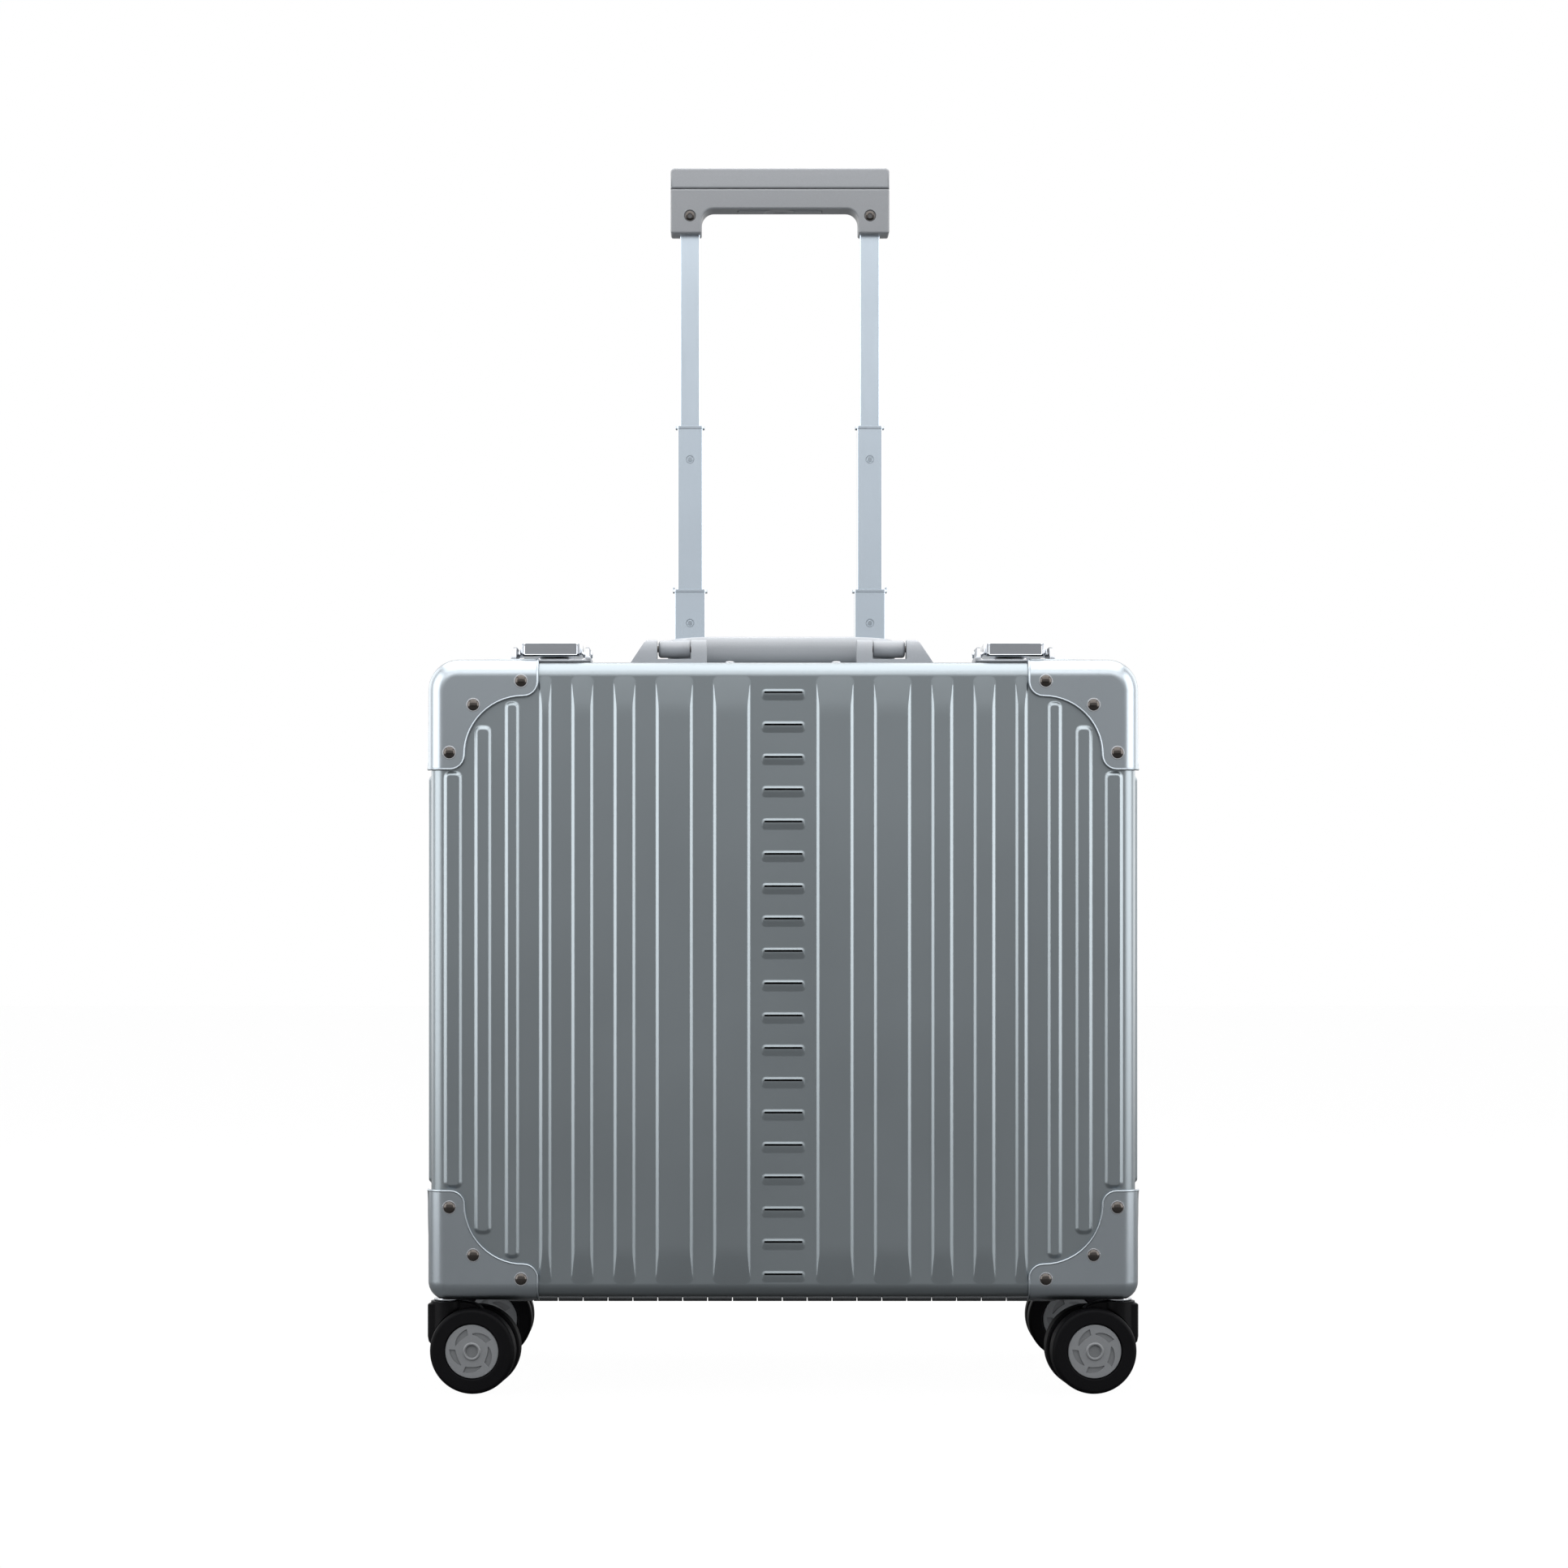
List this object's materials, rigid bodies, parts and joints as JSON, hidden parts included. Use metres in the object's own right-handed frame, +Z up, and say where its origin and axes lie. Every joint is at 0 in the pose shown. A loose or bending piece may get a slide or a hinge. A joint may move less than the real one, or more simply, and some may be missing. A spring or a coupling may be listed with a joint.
{
  "type": "hard shell suitcase on wheels",
  "caption": "Ribbed metal hard shell suitcase with riveted corner guards, a hinged front lid, draw latches, a carry handle, a telescopic trolley and twin-wheel casters.",
  "frame": {"origin": "centre of the footprint on the floor that the wheels stand on", "axes": "+X to the right of someone facing the ribbed front, +Y from the front to the trolley side at the back, +Z up"},
  "size_m": [0.4348, 0.2292, 0.779],
  "materials": {
    "shell": "satin anodised pressed sheet",
    "guard": "satin pressed sheet with polished rivets",
    "frame": "satin extrusion",
    "tube": "satin anodised tube",
    "grip": "metallic grey paint",
    "hardware": "satin plated die casting",
    "steel": "plated",
    "plastic": "fine texture",
    "wheel": "polyurethane tread with a satin silver cap",
    "lining": "plain woven over a stiff liner",
    "seal": "matte"
  },
  "bodies": {
    "rear_half": {"rear_shell": "shell", "rear_frame": "frame", "rear_lining": "lining", "rear_guard_top_left": "guard", "rear_guard_top_right": "guard", "rear_guard_bottom_left": "guard", "rear_guard_bottom_right": "guard", "caster_pivot_rear_left": "steel", "caster_pivot_rear_right": "steel", "trolley_channel_left": "frame", "trolley_channel_right": "frame", "trolley_bezel": "grip", "trolley_foot": "plastic", "handle_bracket_left": "hardware", "handle_bracket_right": "hardware", "handle_pin_left": "steel", "handle_pin_right": "steel", "latch_keeper_left": "steel", "latch_keeper_right": "steel", "hinge_leaf_rear": "steel", "hinge_pin": "steel"},
    "lid": {"front_shell": "shell", "front_frame": "frame", "front_lining": "lining", "frame_seal": "seal", "front_guard_top_left": "guard", "front_guard_top_right": "guard", "front_guard_bottom_left": "guard", "front_guard_bottom_right": "guard", "caster_pivot_front_left": "steel", "caster_pivot_front_right": "steel", "latch_base_left": "hardware", "latch_base_right": "hardware", "hinge_leaf_front": "steel"},
    "lower_stage": {"lower_tube_left": "tube", "lower_tube_right": "tube"},
    "middle_stage": {"middle_tube_left": "tube", "middle_tube_right": "tube"},
    "upper_stage": {"upper_tube_left": "tube", "upper_tube_right": "tube", "grip_yoke": "grip", "grip_cap": "grip"},
    "grip_release": {"grip_button": "grip"},
    "handle": {"carry_handle": "hardware"},
    "latch_lever_left": {"latch_lever_left": "hardware"},
    "latch_claw_left": {"latch_claw_left": "steel"},
    "latch_lever_right": {"latch_lever_right": "hardware"},
    "latch_claw_right": {"latch_claw_right": "steel"},
    "caster_front_left": {"caster_fork_front_left": "plastic"},
    "wheel_front_left_a": {"wheel_front_left_a": "wheel"},
    "wheel_front_left_b": {"wheel_front_left_b": "wheel"},
    "caster_front_right": {"caster_fork_front_right": "plastic"},
    "wheel_front_right_a": {"wheel_front_right_a": "wheel"},
    "wheel_front_right_b": {"wheel_front_right_b": "wheel"},
    "caster_rear_left": {"caster_fork_rear_left": "plastic"},
    "wheel_rear_left_a": {"wheel_rear_left_a": "wheel"},
    "wheel_rear_left_b": {"wheel_rear_left_b": "wheel"},
    "caster_rear_right": {"caster_fork_rear_right": "plastic"},
    "wheel_rear_right_a": {"wheel_rear_right_a": "wheel"},
    "wheel_rear_right_b": {"wheel_rear_right_b": "wheel"}
  },
  "joints": [
    {"name": "lid_hinge", "type": "hinge", "parent": "rear_half", "child": "lid", "pos_m": [0, -0.049, 0.0544], "axis": [1, 0, 0], "range_deg": [0, 95]},
    {"name": "trolley_lower_slide", "type": "slide", "parent": "rear_half", "child": "lower_stage", "axis": [0, 0, 1], "range_m": [-0.0512, 0.1288]},
    {"name": "trolley_middle_slide", "type": "slide", "parent": "lower_stage", "child": "middle_stage", "axis": [0, 0, 1], "range_m": [-0.1056, 0.0744]},
    {"name": "trolley_upper_slide", "type": "slide", "parent": "middle_stage", "child": "upper_stage", "axis": [0, 0, 1], "range_m": [-0.1253, 0.0547]},
    {"name": "grip_button_press", "type": "slide", "parent": "upper_stage", "child": "grip_release", "axis": [0, 0, 1], "range_m": [0, 0.003], "stiffness_N_per_m": 300, "springref_m": -0.004},
    {"name": "carry_handle_hinge", "type": "hinge", "parent": "rear_half", "child": "handle", "pos_m": [0, -0.02, 0.4582], "axis": [1, 0, 0], "range_deg": [0, 95]},
    {"name": "latch_lever_left_hinge", "type": "hinge", "parent": "lid", "child": "latch_lever_left", "pos_m": [-0.142, -0.062, 0.4523], "axis": [-1, 0, 0], "range_deg": [0, 90]},
    {"name": "latch_claw_left_hinge", "type": "hinge", "parent": "latch_lever_left", "child": "latch_claw_left", "pos_m": [-0.142, -0.068, 0.4549], "axis": [-1, 0, 0], "range_deg": [-90, 0]},
    {"name": "latch_lever_right_hinge", "type": "hinge", "parent": "lid", "child": "latch_lever_right", "pos_m": [0.142, -0.062, 0.4523], "axis": [-1, 0, 0], "range_deg": [0, 90]},
    {"name": "latch_claw_right_hinge", "type": "hinge", "parent": "latch_lever_right", "child": "latch_claw_right", "pos_m": [0.142, -0.068, 0.4549], "axis": [-1, 0, 0], "range_deg": [-90, 0]},
    {"name": "caster_front_left_swivel", "type": "hinge", "parent": "lid", "child": "caster_front_left", "pos_m": [-0.206, -0.088, 0.05], "axis": [0, 0, 1], "continuous": true},
    {"name": "wheel_front_left_a_spin", "type": "hinge", "parent": "caster_front_left", "child": "wheel_front_left_a", "pos_m": [-0.18807, -0.08957, 0.026], "axis": [0.0872, 0.9962, 0], "continuous": true},
    {"name": "wheel_front_left_b_spin", "type": "hinge", "parent": "caster_front_left", "child": "wheel_front_left_b", "pos_m": [-0.18807, -0.08957, 0.026], "axis": [0.0872, 0.9962, 0], "continuous": true},
    {"name": "caster_front_right_swivel", "type": "hinge", "parent": "lid", "child": "caster_front_right", "pos_m": [0.206, -0.088, 0.05], "axis": [0, 0, 1], "continuous": true},
    {"name": "wheel_front_right_a_spin", "type": "hinge", "parent": "caster_front_right", "child": "wheel_front_right_a", "pos_m": [0.18807, -0.08957, 0.026], "axis": [0.0872, -0.9962, 0], "continuous": true},
    {"name": "wheel_front_right_b_spin", "type": "hinge", "parent": "caster_front_right", "child": "wheel_front_right_b", "pos_m": [0.18807, -0.08957, 0.026], "axis": [0.0872, -0.9962, 0], "continuous": true},
    {"name": "caster_rear_left_swivel", "type": "hinge", "parent": "rear_half", "child": "caster_rear_left", "pos_m": [-0.206, 0.088, 0.05], "axis": [0, 0, 1], "continuous": true},
    {"name": "wheel_rear_left_a_spin", "type": "hinge", "parent": "caster_rear_left", "child": "wheel_rear_left_a", "pos_m": [-0.188, 0.088, 0.026], "axis": [0, 1, 0], "continuous": true},
    {"name": "wheel_rear_left_b_spin", "type": "hinge", "parent": "caster_rear_left", "child": "wheel_rear_left_b", "pos_m": [-0.188, 0.088, 0.026], "axis": [0, 1, 0], "continuous": true},
    {"name": "caster_rear_right_swivel", "type": "hinge", "parent": "rear_half", "child": "caster_rear_right", "pos_m": [0.206, 0.088, 0.05], "axis": [0, 0, 1], "continuous": true},
    {"name": "wheel_rear_right_a_spin", "type": "hinge", "parent": "caster_rear_right", "child": "wheel_rear_right_a", "pos_m": [0.188, 0.088, 0.026], "axis": [0, -1, 0], "continuous": true},
    {"name": "wheel_rear_right_b_spin", "type": "hinge", "parent": "caster_rear_right", "child": "wheel_rear_right_b", "pos_m": [0.188, 0.088, 0.026], "axis": [0, -1, 0], "continuous": true}
  ],
  "couplings": [
    {"joint": "latch_claw_left_hinge", "follows": "latch_lever_left_hinge", "ratio": -1},
    {"joint": "latch_claw_right_hinge", "follows": "latch_lever_right_hinge", "ratio": -1}
  ]
}
